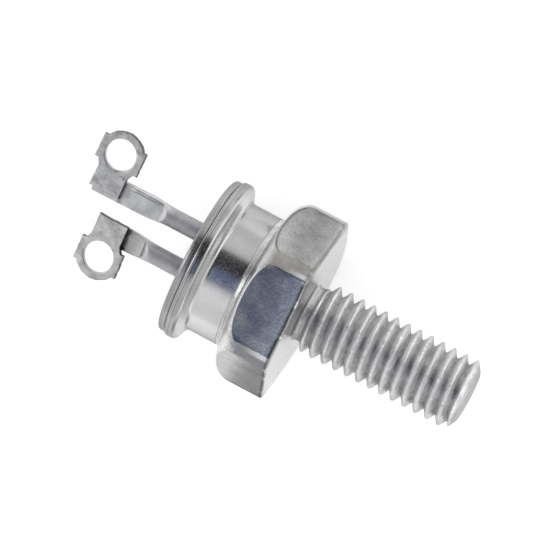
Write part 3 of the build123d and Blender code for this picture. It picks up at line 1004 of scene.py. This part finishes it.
def lug_object(name, y, bend, swing, along_at, reach, side, seed):
    """Make one lug: rings of points go down the eye, out underneath, up the edge and back in on top.

    bend is the blade's, and swing the lug's own angle in the blade's plane. along_at is where the eye lies
    along X, reach how far off the blade's centre line, and side 1 for the lug that points to +Y.
    """
    blade_along = directions(*bend)[1]
    across, along, normal = directions(bend[0], bend[1], swing)
    foot = along_x * crimp_start + along_y * y + blade_along * (along_at - crimp_start) / blade_along[0]
    middle = foot + across * side * reach + normal * blade_thickness / 2
    corners = [np.arctan2(band_half_width, band_half_length), np.arctan2(neck_length, neck_half_width)]
    corners += [pi - corner for corner in corners]
    corners = np.array(corners + [-corner for corner in corners])
    near = radians(0.5)
    turn = np.concatenate([np.linspace(-pi, pi, 361)[:-1], corners, corners - near, corners + near])
    turn = np.unique(np.round(turn, 7))

    edge = lug_outline(turn, side, seed)
    eye = np.full_like(turn, eye_radius)
    soft = 0.05 * MM
    top = lug_thickness
    rings = [(eye + 0.3 * soft, top - 0.3 * soft), (eye, top - soft)]
    rings += [(eye, top / 2), (eye, soft), (eye + soft, 0)]
    rings += [(eye + (edge - eye) * share, 0) for share in (0.25, 0.5, 0.75)]
    edge_start = len(rings)
    rings += [(edge - soft, 0), (edge, soft), (edge, top / 2), (edge, top - soft)]
    rings += [(edge - 0.3 * soft, top - 0.3 * soft), (edge - soft, top)]
    rings += [(eye + (edge - eye) * share, top) for share in (0.85, 0.7, 0.55, 0.4, 0.25)]
    rings += [(eye + soft, top)]
    radius = np.array([ring[0] for ring in rings])
    height = np.array([ring[1] for ring in rings])[:, None, None]
    points = middle + (radius * np.cos(turn))[..., None] * along + (radius * np.sin(turn))[..., None] * across
    lug = grid_object(name + "_body", points + height * normal, loop_rows=True)
    # Mask of the sheared edge, which the material paints dark as shade.
    sheared_edge_shade = np.zeros_like(radius)
    sheared_edge_shade[edge_start:edge_start + 5] = 1
    add_mask(lug, "sheared_edge_shade", sheared_edge_shade)
    return lug


def stamped_tin():
    """Dull tin on stamped brass: cloudy grey with darker specks, a few scratches and painted shade on the
    sheared edge.
    """
    finish = Finish("stamped_tin", 1.0, 0.36, blotch=1500.0, grain=2600.0, scratch=1600.0)
    blotches, grain, scratches = finish.grain
    colour = finish.mix(blotches, (0.36, 0.36, 0.355), (0.66, 0.66, 0.655))
    specks = finish.spread(grain, 0.0, 0.3, 1.0, 0.0)
    colour = finish.mix(finish.times(specks, 0.55), colour, 0.22)
    colour = finish.mix(finish.times(scratches, 0.35), colour, (0.62, 0.62, 0.63))
    # Painted shade on the sheared edge.
    finish.set("Base Color", finish.mix(finish.mask("sheared_edge_shade"), colour, 0.13))
    finish.set("Roughness", finish.spread(blotches, 0.0, 1.0, 0.30, 0.44))
    finish.bump(blotches, 0.014 * MM)
    return finish.material


lug_tin = stamped_tin()
for name, y, bend, swing, along_at, reach, side, seed in (
    ("cathode_lug", -tube_offset, cathode_bend, 0.0, 14.38 * MM, 2.2 * MM, -1, 3),
    ("gate_lug", tube_offset, gate_bend, 1.6, 12.92 * MM, 1.67 * MM, 1, 8),
):
    lug = lug_object(name, y, bend, swing, along_at, reach, side, seed)
    lug.data.materials.append(lug_tin)
    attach(lug, "root")
    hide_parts(name)


# Table. A large sheet of matt white paper lies under the part. It keeps the part's soft shadow, and shows
# as plain white beside it.
floor_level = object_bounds()[0].z
floor_size = 1.5


def white_sheet():
    """White paper that also glows a little for the camera, for mirrors and for glass."""
    material = bpy.data.materials.new("white_sheet")
    material.use_nodes = True
    wires = Wires(material.node_tree)
    path = wires.tree.nodes.new("ShaderNodeLightPath").outputs
    mirrored = wires.math("MAXIMUM", path["Is Glossy Ray"], path["Is Transmission Ray"])
    seen = wires.math("MAXIMUM", path["Is Camera Ray"], mirrored)
    shader = wires.tree.nodes["Principled BSDF"]
    wires.feed(shader.inputs["Base Color"], 0.82)
    wires.feed(shader.inputs["Roughness"], 0.9)
    wires.feed(shader.inputs["Specular IOR Level"], 0.0)
    wires.feed(shader.inputs["Emission Color"], 1.0)
    wires.feed(shader.inputs["Emission Strength"], wires.times(seen, 0.5))
    return material


floor_mesh = bpy.data.meshes.new("table")
half = floor_size / 2
corners = [(-half, -half), (half, -half), (half, half), (-half, half)]
floor_mesh.from_pydata([(x, y, floor_level) for x, y in corners], [], [(0, 1, 2, 3)])
table = bpy.data.objects.new("table", floor_mesh)
bpy.context.scene.collection.objects.link(table)
floor_mesh.materials.append(white_sheet())


# Camera. A long lens looks almost straight down on the part, with the stud to the lower right.
# The photograph's frame is 33.5 mm wide at the part.
to_camera = Vector((-0.1185, -0.1862, 0.9753)).normalized()
image_right = Vector((-0.87706, -0.44089, -0.19071))
image_right = (image_right - to_camera * image_right.dot(to_camera)).normalized()
image_up = to_camera.cross(image_right)
frame_width = 33.455 * MM
photo_width = 550
seat_in_photo = (306.03, 311.91)
pixel = frame_width / photo_width
aim = image_right * (photo_width / 2 - seat_in_photo[0]) * pixel
aim = aim + image_up * (seat_in_photo[1] - photo_width / 2) * pixel
camera_distance = 0.5
sensor_width = 36.0
lens = bpy.data.cameras.new("long_lens")
lens.sensor_width = sensor_width
lens.lens = sensor_width * camera_distance / frame_width
lens.clip_start = 0.01
lens.clip_end = 10.0
camera = bpy.data.objects.new("camera", lens)
turned_camera = Matrix((image_right, image_up, to_camera)).transposed().to_4x4()
camera.matrix_world = Matrix.Translation(aim + to_camera * camera_distance) @ turned_camera
bpy.context.scene.collection.objects.link(camera)
bpy.context.scene.camera = camera


# Light. A plain white tent stands all round. Cloth hangs round the lens inside it, and the shiny metal
# mirrors the cloth as its dark and blue parts.
def studio_world():
    """The tent: one even white on all sides."""
    world = bpy.data.worlds.new("white_tent")
    world.use_nodes = True
    background = world.node_tree.nodes["Background"]
    background.inputs["Color"].default_value = (1.0, 1.0, 1.0, 1.0)
    background.inputs["Strength"].default_value = 0.9
    return world


bpy.context.scene.world = studio_world()


def mirrored_sheet(name, points, faces):
    """Make a sheet that only mirrors see: the camera, the shadows and the soft light leave it out."""
    mesh = bpy.data.meshes.new(name)
    mesh.from_pydata(points, [], faces)
    piece = bpy.data.objects.new(name, mesh)
    bpy.context.scene.collection.objects.link(piece)
    piece.visible_camera = False
    piece.visible_diffuse = False
    piece.visible_shadow = False
    return piece


def sky_patch(name, aslant, across, distance):
    """Make a patch of a sphere round the part, from one angle off the zenith to another.

    aslant gives its angles in degrees towards +X and across those towards +Y; a point lies in the direction
    (tan aslant, tan across, 1).
    """
    count = 25
    u = np.tan(np.radians(np.linspace(*aslant, count)))
    v = np.tan(np.radians(np.linspace(*across, count)))
    u, v = np.meshgrid(u, v, indexing="ij")
    points = np.stack([u, v, np.ones_like(u)], axis=-1)
    points = points / np.linalg.norm(points, axis=-1, keepdims=True) * distance
    i, j = np.meshgrid(np.arange(count - 1), np.arange(count - 1), indexing="ij")
    corner = i * count + j
    quads = np.stack([corner, corner + 1, corner + count + 1, corner + count], axis=-1)
    return mirrored_sheet(name, points.reshape(-1, 3).tolist(), quads.reshape(-1, 4).tolist())


def flat_patch(name, reach_x, reach_y, height):
    """Make a level rectangle."""
    (x0, x1), (y0, y1) = reach_x, reach_y
    points = [(x0, y0, height), (x1, y0, height), (x1, y1, height), (x0, y1, height)]
    return mirrored_sheet(name, points, [(0, 1, 2, 3)])


def plain_glow(name, colour):
    """A surface that gives off one even colour."""
    material = bpy.data.materials.new(name)
    material.use_nodes = True
    wires = Wires(material.node_tree)
    shader = wires.tree.nodes["Principled BSDF"]
    wires.feed(shader.inputs["Base Color"], 0.0)
    wires.feed(shader.inputs["Specular IOR Level"], 0.0)
    wires.feed(shader.inputs["Emission Color"], colour)
    wires.feed(shader.inputs["Emission Strength"], 1.0)
    return material


def glowing_cloth(name, across_stops, blue_stops, blue_reach, fade):
    """Cloth round the lens: black towards -Y, blue in the middle, and white again at its edges.

    across_stops are its colours by the angle off the zenith towards +Y, in degrees. Inside blue_reach of
    that angle, as outer and inner limits, blue_stops by the angle towards +X take their place. Near the two
    ends in X it fades into the white of the tent; fade gives those angles, outer and inner.
    """
    material = plain_glow(name, 1.0)
    wires = Wires(material.node_tree)
    x, y, z = wires.axes()
    aslant = wires.math("ARCTAN2", x, z)
    across = wires.math("ARCTAN2", y, z)

    def share(value, low, high, out_low=0.0, out_high=1.0):
        return wires.spread(value, radians(low), radians(high), out_low, out_high, curve="LINEAR")

    def ramp(value, stops):
        low, high = stops[0][0], stops[-1][0]
        node = wires.tree.nodes.new("ShaderNodeValToRGB")
        wires.feed(node.inputs["Fac"], share(value, low, high))
        elements = node.color_ramp.elements
        elements[0].color = (*stops[0][1], 1.0)
        elements[1].color = (*stops[-1][1], 1.0)
        for degrees_off, colour in stops[1:-1]:
            elements.new((degrees_off - low) / (high - low)).color = (*colour, 1.0)
        return node.outputs["Color"]

    start, full_start, full_end, end = blue_reach
    blue = wires.math("MINIMUM", share(across, start, full_start), share(across, full_end, end, 1.0, 0.0))
    colour = wires.mix(blue, ramp(across, across_stops), ramp(aslant, blue_stops))
    start, full_start, full_end, end = fade
    tent = wires.math("MAXIMUM", share(aslant, start, full_start, 1.0, 0.0), share(aslant, full_end, end))
    shader = wires.tree.nodes["Principled BSDF"]
    wires.feed(shader.inputs["Emission Color"], wires.mix(tent, colour, 0.9))
    return material


lens_cloth = sky_patch("lens_cloth", (-42.0, 24.0), (-66.0, 52.0), 0.3)
lens_cloth.data.materials.append(glowing_cloth("lens_cloth", [
    (-66.0, (1.05, 1.05, 1.05)),
    (-50.0, (1.02, 1.02, 1.02)),
    (-40.5, (1.0, 1.0, 1.0)),
    (-36.0, (0.03, 0.03, 0.035)),
    (14.0, (0.02, 0.022, 0.03)),
    (20.0, (0.6, 0.61, 0.66)),
    (30.0, (0.94, 0.95, 0.98)),
    (52.0, (1.0, 1.0, 1.0)),
], [
    (-30.0, (0.02, 0.02, 0.03)),
    (-8.0, (0.03, 0.03, 0.04)),
    (-1.0, (0.42, 0.47, 0.56)),
    (4.0, (0.20, 0.26, 0.42)),
    (9.0, (0.07, 0.09, 0.24)),
    (16.0, (0.04, 0.05, 0.16)),
], (-9.0, -1.0, 15.0, 20.0), (-42.0, -30.0, 15.0, 24.0)))


# Cards. The end card stands past the terminals and lights the shoulders and facets that face them. The dark
# card shades the terminals' near side, and the stud's card puts the light on the flanks of its thread.
for name, aslant, across, distance, glow, colour in (
    ("side_card", (34.0, 72.0), (-12.0, 24.0), 0.32, "bright_card", 2.1),
    ("side_dark", (15.0, 66.0), (-38.0, -13.0), 0.29, "dark_card", (0.12, 0.12, 0.13)),
    ("stud_card", (-75.0, -34.0), (-78.0, -26.0), 0.31, "soft_card", 1.9),
):
    sky_patch(name, aslant, across, distance).data.materials.append(plain_glow(glow, colour))


# Felt. Two strips of grey felt lie on the table beside the part, a wide one towards +Y and a narrow one
# towards -Y. They darken what the metal's lower sides mirror.
felt_thickness = 0.2 * MM
felt = plain_glow("grey_felt", (0.48, 0.48, 0.49))
for name, reach_x, reach_y in (
    ("side_felt_front", (-14.0 * MM, 3.6 * MM), (10.5 * MM, 40.0 * MM)),
    ("side_felt_back", (1.0 * MM, 6.0 * MM), (-36.0 * MM, -14.0 * MM)),
):
    flat_patch(name, reach_x, reach_y, floor_level + felt_thickness).data.materials.append(felt)


bpy.context.scene.view_settings.view_transform = "Standard"
